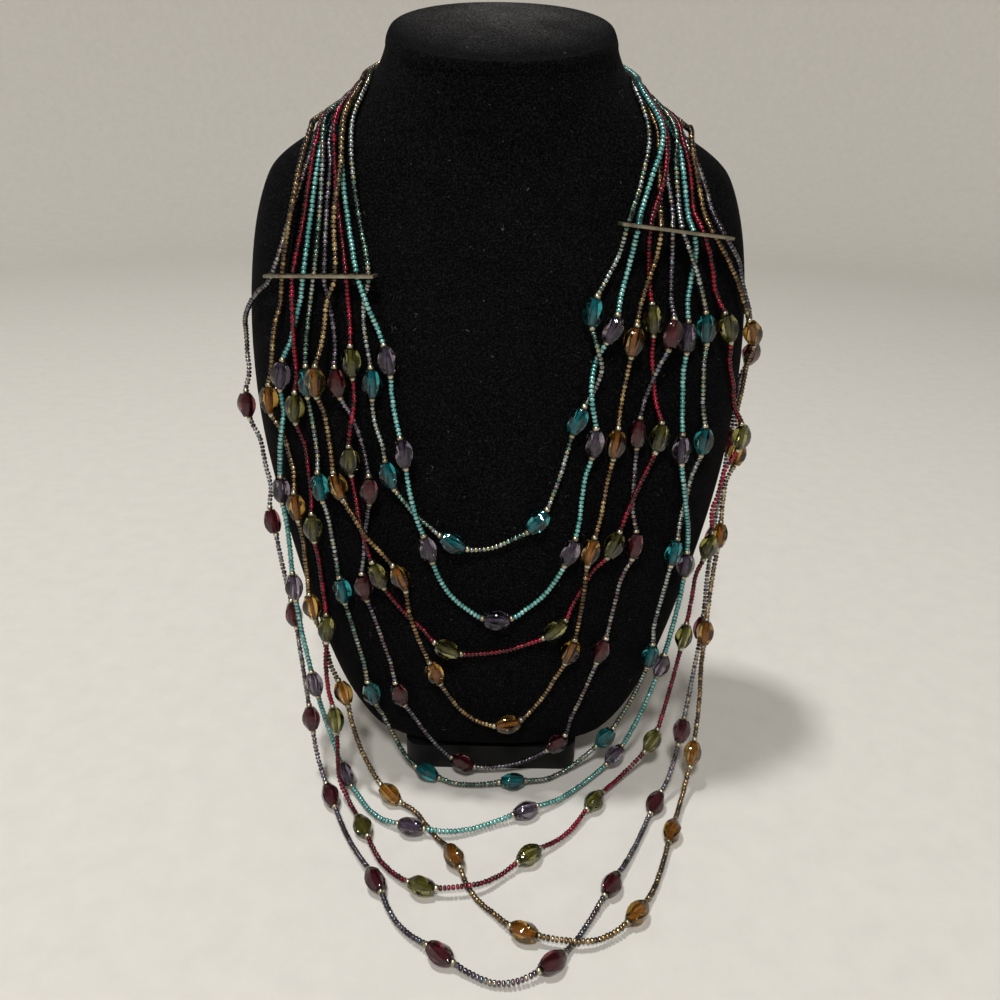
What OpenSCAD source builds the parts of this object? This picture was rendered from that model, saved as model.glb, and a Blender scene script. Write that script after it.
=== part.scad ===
// Ten-strand bead necklace hung over a plain velvet neck bust.
// Origin: centre of the foot's underside. +Z up, -Y is the front.

/* [Neck bust] */
// Greatest width of the bust, across the shoulders
bust_w = 228; // [200:1:250]
// Width of the neck
neck_w = 92; // [80:1:104]
// Depth that the bust's front and back curves are shares of
bust_d = 112; // [100:1:124]
// Height from the foot's top to the side lips of the neck
bust_h = 320; // [300:1:340]
// Forward slant of the flat top of the neck, degrees
cap_slant = 20; // [0:1:25]

/* [Foot] */
// Width of the foot
foot_w = 86; // [70:1:110]
// Depth of the foot
foot_d = 80; // [70:1:90]
// Height of the foot
foot_h = 14; // [10:1:20]
// Radius of the foot's upright corners
foot_r = 8; // [3:1:20]

/* [Strands] */
// Diameter of a string of seed beads
strand_d = 2; // [1.6:0.1:2.2]
// Air between a string and the bust
strand_gap = 0.5; // [0.4:0.1:1]
// Longest stretch of string between two rings above the spacer bars
upper_step = 10; // [8:1:14]
// Rings of the string between two glass beads
inner_rings = 3; // [2:1:4]

/* [Glass beads] */
// Diameter of a glass bead across its rounded corners
bead_d = 8.4; // [7:0.1:9]
// Width of a glass bead across its flats
bead_flats = 7.8; // [6.8:0.1:8.6]
// Length of a glass bead
bead_len = 11; // [9:0.5:13]
// Diameter of a glass bead's ends
bead_end_d = 5; // [4:0.1:6]
// Clearance between a string and a bead's bore, on each side
bore_gap = 0.4; // [0.3:0.05:0.6]

/* [Spacer bars] */
// Length of a spacer bar
bar_len = 53; // [51:1:60]
// Height of a spacer bar
bar_h = 1.2; // [0.8:0.1:2]
// Depth of a spacer bar
bar_d = 4.4; // [4.2:0.1:6]
// Distance between two holes of a bar
hole_pitch = 5.2; // [4.8:0.1:5.3]
// Clearance between a string and its hole, on each side
hole_gap = 0.45; // [0.4:0.05:0.6]

/* [Clasp] */
// Width of the clasp, from string ends to string ends
clasp_w = 18; // [12:1:24]
// Height of the clasp
clasp_h = 14; // [13:1:18]
// Thickness of the clasp
clasp_t = 7; // [6:0.5:9]
// Radius of the clasp's corners
clasp_r = 2; // [1:0.5:3]
// Depth of the clasp's middle below the neck's top
clasp_drop = 10; // [8:1:16]
// Distance between two rows of strings behind the neck
row_pitch = 2.6; // [2.5:0.1:2.7]
// Distance between the two layers of strings behind the neck
layer_pitch = 2.8; // [2.6:0.1:3]
// Height between two strings side by side on the shoulder
ridge_pitch = 2.3; // [2.1:0.1:2.5]

/* [Hidden] */
$fn = 48;
STRAND_COUNT = 10;

strand_r = strand_d / 2;
tube_sides = 8;
seated = strand_r + strand_gap;
bead_seat = bead_d / 2 + strand_gap;
bust_sides = 36;
// Exponent of the bust's rounded sections, 2 being an ellipse
roundness = 2.2;
// Curve steps between two route points
curve_steps = 8;

// Sections of the bust from the foot up. Height as a share of bust_h, half width as shares of
// bust_w / 2 and of neck_w / 2, then front, widest line and back as shares of bust_d from Y = 0.
SECTIONS = [
    // height, by bust, by neck, front, widest, back
    [0,     0.44,  0,    -0.375, -0.24,  0.02],
    [0.025, 0.53,  0,    -0.395, -0.225, 0.09],
    [0.07,  0.63,  0,    -0.42,  -0.19,  0.16],
    [0.145, 0.73,  0,    -0.44,  -0.125, 0.24],
    [0.24,  0.815, 0,    -0.44,  -0.065, 0.32],
    [0.35,  0.905, 0,    -0.42,  0.01,   0.4],
    [0.47,  0.975, 0,    -0.365, 0.08,   0.475],
    [0.6,   1,     0,    -0.295, 0.135,  0.525],
    [0.705, 0.975, 0,    -0.225, 0.16,   0.555],
    [0.775, 0.94,  0,    -0.17,  0.18,   0.565],
    [0.825, 0.885, 0,    -0.135, 0.19,   0.565],
    [0.855, 0.6,   0.5,  -0.115, 0.195,  0.565],
    [0.885, 0.28,  0.94, -0.105, 0.205,  0.56],
    [0.915, 0.13,  1,    -0.1,   0.215,  0.555],
    [0.955, 0.045, 1,    -0.1,   0.215,  0.545],
    [1,     0,     1,    -0.105, 0.225,  0.545]
];
// Height share at which the neck's rings begin to lean with the slanted top
lean_from = 0.915;
// Height shares of the extra rings in the curve between shoulder and neck
EXTRA_RINGS = [0.84, 0.87, 0.9];

// Width, depth and height of the bust on which the points of the bars and of the strings were
// chosen. The points follow the bust when its sizes change.
CHOSEN_ON = [228, 112, 320];

// Middle of each spacer bar's row of holes, the turn in plan that sets its outer end back, and
// its outward drop
BARS = [
    // x, y, z, turn, drop
    [-73, -21, 241, 22, 4.5],
    [71.5, -21, 261, 22, 8]
];

// Routes of the strings, innermost first. Each has three parts: down the left shoulder to the
// bar, round the front from bar to bar, and up the right shoulder. A fourth value of 1 marks
// the middle of a glass bead.
ROUTES = [
    [[[-59, 0, 300], [-59, -10, 284], [-56, -17, 264]],
     [[-55, -26, 229], [-53, -32, 214], [-51, -35, 200, 1], [-51, -37, 186], [-47, -41, 174],
      [-44, -41, 162, 1], [-39, -45, 152], [-32, -47, 144], [-17, -49, 134, 1], [-6, -50, 131],
      [6, -50, 135], [19, -48, 144, 1], [27, -45, 162], [34, -40, 187, 1], [43, -36, 205],
      [42, -38, 213], [38, -30, 230, 1], [43, -27, 241], [49, -23, 253]],
     [[53, -19, 268], [58, -10, 284], [59, 0, 300]]],
    [[[-63, 1, 300], [-63, -10, 283], [-61, -15, 264]],
     [[-52, -32, 231], [-48, -30, 220], [-44, -35, 210, 1], [-43, -37, 195], [-41, -40, 184],
      [-38, -45, 173, 1], [-36, -47, 158], [-33, -50, 146], [-28, -50, 131, 1], [-23, -51, 116],
      [-14, -52, 104], [2, -53, 97, 1], [17, -52, 104], [27, -51, 116], [33, -49, 130, 1],
      [37, -46, 145], [38, -43, 160], [42, -42, 178, 1], [41, -42, 189], [39, -42, 198],
      [40, -35, 208], [43, -31, 215], [47, -35, 224, 1], [50, -27, 236], [53, -23, 248]],
     [[57, -17, 268], [62, -12, 285], [65, -6, 294], [64, -1, 301]]],
    [[[-66, -1, 300], [-66, -8, 282], [-64, -15, 260]],
     [[-61, -25, 230], [-60, -29, 217], [-60, -32, 208, 1], [-59, -35, 193], [-61, -39, 180],
      [-62, -39, 167, 1], [-60, -41, 153], [-58, -45, 140], [-55, -46, 128], [-51, -48, 116, 1],
      [-42, -49, 101], [-30, -51, 89], [-20, -53, 81, 1], [-5, -53, 79], [12, -53, 83],
      [28, -52, 92, 1], [36, -49, 104], [44, -47, 120], [52, -45, 132, 1], [57, -44, 146],
      [61, -42, 157], [70, -34, 178, 1], [67, -31, 195], [65, -27, 210], [64, -28, 227, 1],
      [62, -23, 238], [61, -21, 250]],
     [[62, -18, 268], [66, -12, 282], [66, 0, 299]]],
    [[[-62, -3, 301], [-63, -13, 283], [-66, -18, 264]],
     [[-69, -26, 234], [-70, -28, 226], [-72, -31, 215], [-75, -38, 201, 1], [-72, -35, 187],
      [-70, -37, 171], [-68, -40, 155, 1], [-62, -45, 147], [-57, -49, 139], [-50, -48, 129],
      [-40, -49, 116, 1], [-37, -53, 101], [-33, -55, 88], [-26, -53, 68, 1], [-15, -52, 47],
      [-4, -51, 38], [8, -51, 38, 1], [19, -51, 46], [27, -52, 60], [35, -51, 80, 1],
      [39, -51, 97], [40, -52, 112], [42, -48, 130, 1], [46, -45, 145], [48, -42, 160],
      [51, -40, 177, 1], [52, -36, 190], [54, -33, 204], [56, -33, 219, 1], [58, -28, 232],
      [61, -26, 244], [64, -23, 253]],
     [[65, -14, 268], [64, -8, 285], [63, 0, 298]]],
    [[[-68, 3, 297], [-68, -6, 285], [-70, -13, 263]],
     [[-71, -20, 236], [-69, -22, 228], [-67, -27, 216], [-67, -32, 199, 1], [-62, -33, 188],
      [-56, -37, 172], [-53, -44, 155, 1], [-55, -41, 143], [-57, -42, 130], [-57, -46, 109, 1],
      [-52, -47, 88], [-47, -48, 70], [-42, -49, 53, 1], [-36, -48, 37], [-26, -47, 20],
      [-14, -47, 9, 1], [0, -46, 6], [16, -46, 10], [32, -47, 23, 1], [39, -48, 41],
      [46, -49, 64], [50, -49, 79, 1], [54, -46, 96], [57, -45, 115], [62, -43, 131, 1],
      [60, -41, 148], [60, -38, 165], [60, -37, 181, 1], [62, -34, 194], [66, -34, 207],
      [72, -32, 222, 1], [71, -22, 236], [71, -18, 249]],
     [[70, -13, 268], [67, -7, 284], [67, 3, 298]]],
    [[[-71, 2, 299], [-71, -6, 287], [-73, -12, 263]],
     [[-77, -19, 234], [-79, -21, 222], [-80, -25, 211], [-80, -28, 198, 1], [-79, -29, 185],
      [-77, -32, 169], [-76, -36, 153, 1], [-73, -38, 139], [-71, -40, 124], [-68, -43, 105, 1],
      [-64, -43, 84], [-60, -44, 66], [-56, -45, 50, 1], [-51, -44, 32], [-45, -45, 18],
      [-39, -47, 8], [-31, -49, 5, 1], [-19, -54, 3], [-6, -55, 3], [11, -54, 5, 1],
      [26, -51, 3], [40, -43, 4], [57, -39, 20, 1], [67, -37, 38], [72, -37, 53],
      [74, -38, 69, 1], [76, -37, 89], [79, -37, 109], [80, -36, 124, 1], [84, -32, 143],
      [87, -29, 160], [90, -26, 174, 1], [89, -24, 191], [88, -22, 207], [88, -20, 222, 1],
      [84, -19, 238], [79, -19, 250]],
     [[73, -13, 267], [71, -6, 285], [71, 2, 298]]],
    [[[-71, 4, 296], [-73, -4, 286], [-77, -11, 262]],
     [[-82, -18, 231], [-85, -19, 221], [-88, -20, 211], [-90, -21, 199, 1], [-92, -23, 185],
      [-94, -27, 169], [-96, -26, 147, 1], [-95, -26, 129], [-94, -29, 114], [-93, -32, 100, 1],
      [-91, -35, 82], [-88, -39, 67], [-85, -42, 52, 1], [-81, -45, 36], [-76, -49, 20],
      [-71, -54, 7, 1], [-63, -64, 3], [-52, -77, 3], [-36, -84, 5, 1], [-17, -86, 4],
      [0, -80, 3], [17, -73, 5, 1], [33, -64, 3], [49, -50, 3], [63, -38, 8, 1],
      [71, -37, 25], [77, -35, 42], [82, -33, 60, 1], [85, -34, 81], [87, -34, 99],
      [88, -33, 116, 1], [87, -34, 133], [84, -36, 148], [80, -32, 172, 1], [80, -27, 188],
      [79, -25, 204], [79, -24, 219, 1], [79, -18, 236], [81, -15, 250]],
     [[77, -11, 266], [74, -5, 284], [71, 4, 296]]],
    [[[-73, 3, 297], [-75, -4, 288], [-80, -10, 262]],
     [[-85, -21, 229], [-85, -23, 218], [-85, -24, 206], [-84, -26, 186, 1], [-83, -28, 170],
      [-81, -32, 151], [-80, -36, 133, 1], [-79, -36, 113], [-78, -37, 97], [-77, -41, 83, 1],
      [-78, -45, 67], [-77, -48, 52], [-74, -52, 39, 1], [-73, -57, 26], [-72, -62, 12],
      [-66, -70, 4], [-58, -84, 5, 1], [-46, -104, 3], [-28, -117, 5, 1], [-7, -117, 6],
      [5, -110, 4], [18, -99, 5, 1], [35, -86, 3], [50, -66, 5, 1], [66, -49, 6],
      [80, -42, 21, 1], [86, -36, 40], [90, -31, 58], [93, -27, 73, 1], [96, -22, 97],
      [98, -18, 118, 1], [102, -13, 135], [105, -9, 153], [108, -6, 169, 1], [106, -10, 189],
      [101, -13, 206], [97, -14, 221, 1], [92, -13, 234], [88, -13, 248]],
     [[80, -9, 266], [77, -4, 284], [73, 3, 297]]],
    [[[-77, 4, 296], [-80, -3, 286], [-85, -13, 262]],
     [[-91, -14, 230], [-94, -16, 220], [-96, -18, 208], [-98, -19, 187, 1], [-95, -21, 177],
      [-91, -24, 163], [-87, -31, 141, 1], [-87, -31, 127], [-86, -33, 111], [-85, -35, 91, 1],
      [-80, -37, 75], [-76, -42, 61], [-70, -47, 51, 1], [-64, -55, 31], [-57, -59, 15],
      [-48, -65, 5, 1], [-37, -71, 3], [-25, -86, 1.5], [-15, -101, 6, 1], [-7, -117, 2],
      [5, -130, 3], [15, -138, 5, 1], [37, -142, 5], [50, -138, 4], [62, -128, 5, 1],
      [72, -113, 3], [84, -84, 5, 1], [93, -62, 6], [99, -48, 19, 1], [102, -37, 41],
      [102, -32, 58], [103, -27, 75, 1], [105, -19, 97], [108, -11, 120, 1], [109, -5, 138],
      [112, 2, 157, 1], [114, 9, 176], [113, 7, 197], [110, -3, 216, 1], [106, -5, 230],
      [98, -8, 245]],
     [[85, -9, 264], [80, -5, 281], [77, 2, 297]]],
    [[[-75, 4, 294], [-77, -2, 286], [-84, -6, 268]],
     [[-100, -6, 233], [-108, 2, 222], [-115, 12, 207], [-116, 11, 194], [-113, 6, 176, 1],
      [-108, 2, 157], [-106, -4, 142], [-105, -12, 124, 1], [-101, -19, 103], [-96, -26, 81, 1],
      [-92, -34, 56], [-88, -43, 32, 1], [-84, -52, 15], [-76, -66, 5, 1], [-63, -91, 3],
      [-48, -114, 5, 1], [-36, -134, 3], [-18, -148, 5, 1], [-4, -156, 3], [9, -159, 3],
      [26, -151, 5, 1], [37, -138, 2], [53, -114, 5, 1], [65, -94, 3], [79, -67, 5, 1],
      [87, -56, 12], [93, -45, 30, 1], [99, -30, 51], [104, -17, 71, 1], [106, -7, 93],
      [108, 0, 113, 1], [111, 8, 137], [114, 15, 158, 1], [116, 20, 180], [115, 17, 202, 1],
      [108, 3, 227], [102, -5, 246]],
     [[88, -5, 267], [82, -2, 282], [75, 4, 294]]]
];

// Value of a column of SECTIONS at a height share, as a smooth curve through the rows
function section_row(s, i = 0) =
    i >= len(SECTIONS) - 2 || s < SECTIONS[i + 1][0] ? i : section_row(s, i + 1);
function section_slope(i, col) =
    let (a = max(i - 1, 0), b = min(i + 1, len(SECTIONS) - 1))
    (SECTIONS[b][col] - SECTIONS[a][col]) / (SECTIONS[b][0] - SECTIONS[a][0]);
function section_value(s, col) =
    let (
        c = min(max(s, 0), 1),
        i = section_row(c),
        h = SECTIONS[i + 1][0] - SECTIONS[i][0],
        t = (c - SECTIONS[i][0]) / h
    )
    blend(SECTIONS[i][col], SECTIONS[i + 1][col],
          section_slope(i, col) * h, section_slope(i + 1, col) * h, t);

// Cubic curve from a to b with end slopes u and v
function blend(a, b, u, v, t) =
    (2 * t^3 - 3 * t^2 + 1) * a + (t^3 - 2 * t^2 + t) * u
    + (3 * t^2 - 2 * t^3) * b + (t^3 - t^2) * v;

// Half width, front, widest line and back of the bust at height z
function bust_half_w(z) =
    let (s = (z - foot_h) / bust_h)
    bust_w / 2 * section_value(s, 1) + neck_w / 2 * section_value(s, 2);
function bust_line(z, col) = bust_d * section_value((z - foot_h) / bust_h, col);
function bust_depth(z, y) =
    y < bust_line(z, 4) ? bust_line(z, 4) - bust_line(z, 3) : bust_line(z, 5) - bust_line(z, 4);

// Rings above lean_z lean with the slanted top: the height at which a ring would be without its
// lean, from a point of it, and the height of a point of a ring at z with the lean
neck_top = foot_h + bust_h;
lean_z = foot_h + bust_h * lean_from;
function lean(z, y) = 1 + tan(cap_slant) / (neck_top - lean_z) * (y - bust_line(z, 4));
function upright_z(p) = p[2] <= lean_z ? p[2] : lean_z + (p[2] - lean_z) / lean(p[2], p[1]);
function leaning_z(p) = p[2] <= lean_z ? p[2] : lean_z + (p[2] - lean_z) * lean(p[2], p[1]);

// Horizontal reach that keeps a point off from a wall whose reach changes from u to v over 2 mm
function reach(off, u, v) = off * sqrt(1 + ((v - u) / 2)^2);
function side_reach(z, off) = reach(off, bust_half_w(z - 1), bust_half_w(z + 1));
function depth_reach(z, y, off) = reach(off, bust_depth(z - 1, y), bust_depth(z + 1, y));

// Point of the bust's outline at height z and angle a, grown outward by off
function signed_pow(v, e) = sign(v) * abs(v)^e;
function bust_point(z, a, off = 0) =
    let (m = bust_line(z, 4))
    [
        (bust_half_w(z) + side_reach(z, off)) * signed_pow(cos(a), 2 / roundness),
        m + (bust_depth(z, m + sin(a)) + depth_reach(z, m + sin(a), off))
            * signed_pow(sin(a), 2 / roundness),
        z
    ];

// Moves a point outward until it is off or more from the bust
function clear_of_bust(p, off) =
    p[2] < foot_h ? p :
    let (
        z = upright_z(p),
        m = bust_line(z, 4),
        w = bust_half_w(z) + side_reach(z, off),
        d = bust_depth(z, p[1]) + depth_reach(z, p[1], off),
        q = (abs(p[0] / w)^roundness + abs((p[1] - m) / d)^roundness)^(1 / roundness)
    )
    q < 1 ? [p[0] / q, m + (p[1] - m) / q, p[2]] : p;

// A chosen point of a string or bar at its place on the bust, with its mark. What lies below
// the foot's top keeps its height.
function on_bust(p) = [
    p[0] * bust_w / CHOSEN_ON[0],
    p[1] * bust_d / CHOSEN_ON[1],
    p[2] < foot_h ? p[2] : foot_h + (p[2] - foot_h) * bust_h / CHOSEN_ON[2],
    p[3]
];
function all_on_bust(v) = [for (p = v) on_bust(p)];

// Hole i of a bar, 1 being the innermost
function bar_axis(b) = [sign(b[0]) * cos(b[4]) * cos(b[3]), cos(b[4]) * sin(b[3]), -sin(b[4])];
function bar_hole(b, i) = spot(on_bust(b)) + bar_axis(b) * hole_pitch * (i - (STRAND_COUNT + 1) / 2);

// Way of string k round one side of the neck, from the shoulder to the clasp. The strings lie
// side by side on the shoulder and in five rows and two layers behind the neck.
clasp_z = neck_top - clasp_drop;
clasp_y = bust_line(neck_top, 5) + clasp_t / 2 + strand_gap;
// Place of each string, first on the left side and then on the right
SLOTS = [[1, 3, 4, 2, 5, 6, 7, 8, 10, 9], [1, 2, 4, 3, 5, 6, 7, 8, 10, 9]];
function slot(k, side) = SLOTS[side < 0 ? 0 : 1][k - 1] - 1;
function row(k, side) = floor(slot(k, side) / 2);
function layer(k, side) = slot(k, side) % 2;
NAPE = [
    // angle round the neck, height from neck_top, share of side by side
    [-14, -20, 0.6],
    [8, -16, 0.3],
    [30, -11, 0.1],
    [50, -7, 0],
    [72, -5, 0]
];
function nape(k, side) = concat(
    [for (n = NAPE)
        let (
            drop = n[2] * ridge_pitch * slot(k, side) + (1 - n[2]) * row_pitch * row(k, side),
            off = seated + layer_pitch * layer(k, side) * (1 - n[2]^2),
            z = neck_top + n[1] - drop,
            p = bust_point(upright_z(bust_point(z, n[0], off)), n[0], off)
        )
        [side * p[0], p[1], z]],
    [[side * (clasp_w / 2 + strand_gap),
      bust_line(neck_top, 5) + seated + layer_pitch * layer(k, side),
      clasp_z + row_pitch * (2 - row(k, side))]]
);
function backwards(v) = [for (i = [len(v) - 1:-1:0]) v[i]];

// All route points of string k, from the clasp's left side to its right side
function route(k) = concat(
    backwards(nape(k, -1)),
    all_on_bust(ROUTES[k - 1][0]),
    [bar_hole(BARS[0], k)],
    all_on_bust(ROUTES[k - 1][1]),
    [bar_hole(BARS[1], k)],
    all_on_bust(ROUTES[k - 1][2]),
    nape(k, 1)
);

// Smooth curve through route points, curve_steps steps from each to the next
function spot(p) = [p[0], p[1], p[2]];
function tangent(v, i) =
    let (a = max(i - 1, 0), b = min(i + 1, len(v) - 1), c = spot(v[i]))
    (spot(v[b]) - spot(v[a])) / (norm(spot(v[b]) - c) + norm(c - spot(v[a])));
function curve(v) = concat(
    [for (i = [0:len(v) - 2], j = [0:curve_steps - 1])
        let (h = norm(spot(v[i + 1]) - spot(v[i])))
        blend(spot(v[i]), spot(v[i + 1]), tangent(v, i) * h, tangent(v, i + 1) * h,
              j / curve_steps)],
    [spot(v[len(v) - 1])]
);

// Running length along a list of points
function lengths(v) = [
    for (i = 0, s = 0; i < len(v); s = s + (i + 1 < len(v) ? norm(v[i + 1] - v[i]) : 0), i = i + 1)
        s
];
function along(s, v, at) =
    [for (axis = [0:2]) lookup(s, [for (i = [0:len(v) - 1]) [at[i], v[i][axis]]])];

// Places along string k where it has a ring, each with the string's least distance from the
// bust there: two rings at the ends of each glass bead and inner_rings between two beads
function bead_places(v, at) =
    [for (i = [0:len(v) - 1]) if (v[i][3] == 1) at[i * curve_steps]];
function even(from, to, n) = [for (i = [1:n]) from + (to - from) * i / (n + 1)];
function ring_places(beads, total) =
    let (half = bead_len / 2, last = len(beads) - 1)
    concat(
        [[0, seated]],
        [for (s = even(0, beads[0] - half, ceil(beads[0] / upper_step) - 1)) [s, seated]],
        [for (i = [0:last]) each concat(
            [[beads[i] - half, bead_seat], [beads[i] + half, bead_seat]],
            i == last ? [] :
                [for (s = even(beads[i] + half, beads[i + 1] - half, inner_rings)) [s, seated]]
        )],
        [for (s = even(beads[last] + half, total, ceil((total - beads[last]) / upper_step) - 1))
            [s, seated]],
        [[total, seated]]
    );

// Ring centres of string k, and the pairs of them at its glass beads' ends
function string_data(k) =
    let (
        way = route(k),
        fine = curve(way),
        at = lengths(fine),
        beads = bead_places(way, at),
        rings = ring_places(beads, at[len(at) - 1])
    )
    [
        [for (r = rings) clear_of_bust(along(r[0], fine, at), r[1])],
        [for (s = beads) [for (e = [-1, 1])
            clear_of_bust(along(s + e * bead_len / 2, fine, at), bead_seat)]]
    ];

// Round tube through ring centres, its rings turned without twist
function unit(v) = v / norm(v);
function heading(v, i) = unit(v[min(i + 1, len(v) - 1)] - v[max(i - 1, 0)]);
function sideways(n, d) = unit(n - (n * d) * d);
function ring_sides(v) = [
    for (i = 0, n = sideways([0.3, 0.2, 1], heading(v, 0)); i < len(v);
         i = i + 1, n = i < len(v) ? sideways(n, heading(v, i)) : n)
        n
];
module tube(v, r) {
    n = ring_sides(v);
    last = (len(v) - 1) * tube_sides;
    points = [for (i = [0:len(v) - 1], j = [0:tube_sides - 1])
        let (a = 360 * j / tube_sides)
        v[i] + r * (cos(a) * n[i] + sin(a) * cross(heading(v, i), n[i]))];
    faces = concat(
        [[for (j = [0:tube_sides - 1]) j]],
        [for (i = [0:len(v) - 2], j = [0:tube_sides - 1])
            let (a = i * tube_sides + j, b = i * tube_sides + (j + 1) % tube_sides)
            each [[a, a + tube_sides, b + tube_sides], [a, b + tube_sides, b]]],
        [[for (j = [tube_sides - 1:-1:0]) last + j]]
    );
    polyhedron(points, faces);
}

STRING_COLOURS = ["darkslategray", "mediumaquamarine", "crimson", "darkgoldenrod", "indigo"];
GLASS_COLOURS = ["teal", "mediumpurple", "olive", "orange", "brown"];

module strand(k) {
    color(STRING_COLOURS[(k - 1) % 5]) tube(string_data(k)[0], strand_r);
}

// One glass bead along Z: a barrel with six long flats, drilled for the string
module glass_bead() {
    bulge = (bead_d - bead_end_d) / 2;
    arc_r = (bead_len^2 / 4 + bulge^2) / (2 * bulge);
    difference() {
        intersection() {
            rotate_extrude() intersection() {
                translate([bead_d / 2 - arc_r, 0]) circle(arc_r);
                translate([0, -bead_len / 2]) square([bead_d, bead_len]);
            }
            cylinder(h = bead_len, d = bead_flats / cos(30), center = true, $fn = 6);
        }
        cylinder(h = bead_len + 2, r = strand_r + bore_gap, center = true);
    }
}

// Places children along the line from a to b, middle on middle
module between(a, b) {
    d = b - a;
    translate((a + b) / 2)
        rotate([0, acos(d[2] / norm(d)), atan2(d[1], d[0])]) children();
}

module glass_beads(k) {
    color(GLASS_COLOURS[(k - 1) % 5])
        for (ends = string_data(k)[1]) between(ends[0], ends[1]) glass_bead();
}

// Bar along X with its row of holes, turned and dropped into place
module spacer_bar(b) {
    color("darkkhaki") translate(spot(on_bust(b)))
        mirror([b[0] < 0 ? 1 : 0, 0, 0]) rotate([0, b[4], b[3]]) difference() {
            cube([bar_len, bar_d, bar_h], center = true);
            for (i = [1:STRAND_COUNT])
                translate([hole_pitch * (i - (STRAND_COUNT + 1) / 2), 0, 0])
                    cylinder(h = bar_h + 2, r = strand_r + hole_gap, center = true);
        }
}

module spacer_bar_left() {
    spacer_bar(BARS[0]);
}

module spacer_bar_right() {
    spacer_bar(BARS[1]);
}

// Rectangle of a size with its corners rounded to radius r
module rounded(size, r) {
    square([size[0] - 2 * r, size[1]], center = true);
    square([size[0], size[1] - 2 * r], center = true);
    for (x = [-1, 1], y = [-1, 1])
        translate([x * (size[0] / 2 - r), y * (size[1] / 2 - r)]) circle(r);
}

module clasp() {
    color("silver") translate([0, clasp_y, clasp_z]) rotate([90, 0, 0])
        linear_extrude(clasp_t, center = true) rounded([clasp_w, clasp_h], clasp_r);
}

module neck_form() {
    shares = [for (i = [0:len(SECTIONS) - 1]) each concat(
        [SECTIONS[i][0]],
        [for (s = EXTRA_RINGS) if (s > SECTIONS[i][0] && s < SECTIONS[i + 1][0]) s]
    )];
    last = (len(shares) - 1) * bust_sides;
    points = [for (s = shares, j = [0:bust_sides - 1])
        let (p = bust_point(foot_h + bust_h * s, 360 * j / bust_sides))
        [p[0], p[1], leaning_z(p)]];
    faces = concat(
        [[for (j = [0:bust_sides - 1]) j]],
        [for (i = [0:len(shares) - 2], j = [0:bust_sides - 1])
            let (a = i * bust_sides + j, b = i * bust_sides + (j + 1) % bust_sides)
            each [[a, a + bust_sides, b + bust_sides], [a, b + bust_sides, b]]],
        [[for (j = [bust_sides - 1:-1:0]) last + j]]
    );
    color("#26262a") polyhedron(points, faces);
}

module foot() {
    color("#1c1c1f") linear_extrude(foot_h) rounded([foot_w, foot_d], foot_r);
}

module strand_01() {
    strand(1);
}

module strand_02() {
    strand(2);
}

module strand_03() {
    strand(3);
}

module strand_04() {
    strand(4);
}

module strand_05() {
    strand(5);
}

module strand_06() {
    strand(6);
}

module strand_07() {
    strand(7);
}

module strand_08() {
    strand(8);
}

module strand_09() {
    strand(9);
}

module strand_10() {
    strand(10);
}

module glass_beads_01() {
    glass_beads(1);
}

module glass_beads_02() {
    glass_beads(2);
}

module glass_beads_03() {
    glass_beads(3);
}

module glass_beads_04() {
    glass_beads(4);
}

module glass_beads_05() {
    glass_beads(5);
}

module glass_beads_06() {
    glass_beads(6);
}

module glass_beads_07() {
    glass_beads(7);
}

module glass_beads_08() {
    glass_beads(8);
}

module glass_beads_09() {
    glass_beads(9);
}

module glass_beads_10() {
    glass_beads(10);
}

neck_form();
foot();
spacer_bar_left();
spacer_bar_right();
clasp();
strand_01();
strand_02();
strand_03();
strand_04();
strand_05();
strand_06();
strand_07();
strand_08();
strand_09();
strand_10();
glass_beads_01();
glass_beads_02();
glass_beads_03();
glass_beads_04();
glass_beads_05();
glass_beads_06();
glass_beads_07();
glass_beads_08();
glass_beads_09();
glass_beads_10();
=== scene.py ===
"""Ten-strand bead necklace on a velvet neck bust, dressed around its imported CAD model."""

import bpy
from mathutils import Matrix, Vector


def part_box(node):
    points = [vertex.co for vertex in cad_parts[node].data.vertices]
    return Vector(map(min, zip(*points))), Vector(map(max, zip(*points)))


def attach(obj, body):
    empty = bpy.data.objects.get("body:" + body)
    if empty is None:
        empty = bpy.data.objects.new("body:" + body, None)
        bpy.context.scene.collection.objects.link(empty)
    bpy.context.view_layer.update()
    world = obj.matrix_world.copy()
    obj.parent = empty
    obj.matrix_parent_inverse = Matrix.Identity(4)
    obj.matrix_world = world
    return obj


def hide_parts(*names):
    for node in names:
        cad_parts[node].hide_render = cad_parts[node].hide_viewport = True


bl_info = {
    "name": "Ten-strand bead necklace",
    "version": (1, 0, 0),
    "blender": (4, 5, 0),
    "location": "3D View > Sidebar > Necklace",
    "description": "Seed beads, glass beads, spacer bars and the velvet bust around the CAD frame",
    "category": "Object",
}

import math
import random

import bmesh
import bpy
from bpy.props import FloatProperty, FloatVectorProperty, IntProperty, PointerProperty
from mathutils import Matrix, Quaternion, Vector

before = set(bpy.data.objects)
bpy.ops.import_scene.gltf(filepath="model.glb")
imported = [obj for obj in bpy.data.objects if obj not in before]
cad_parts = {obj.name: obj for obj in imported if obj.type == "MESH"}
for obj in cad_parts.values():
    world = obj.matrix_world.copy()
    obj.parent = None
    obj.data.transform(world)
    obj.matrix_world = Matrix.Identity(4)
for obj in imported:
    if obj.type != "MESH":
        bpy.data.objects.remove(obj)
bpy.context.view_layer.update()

MM = 0.001
STRAND_COUNT = 10
BODY = "root"

# Seed beads of each string, innermost first, and the glass of its large beads
SEED_FAMILIES = ["iris_green", "aqua", "ruby", "bronze", "iris_purple"]
GLASS_FAMILIES = ["teal", "amethyst", "olive", "amber", "garnet"]
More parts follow.
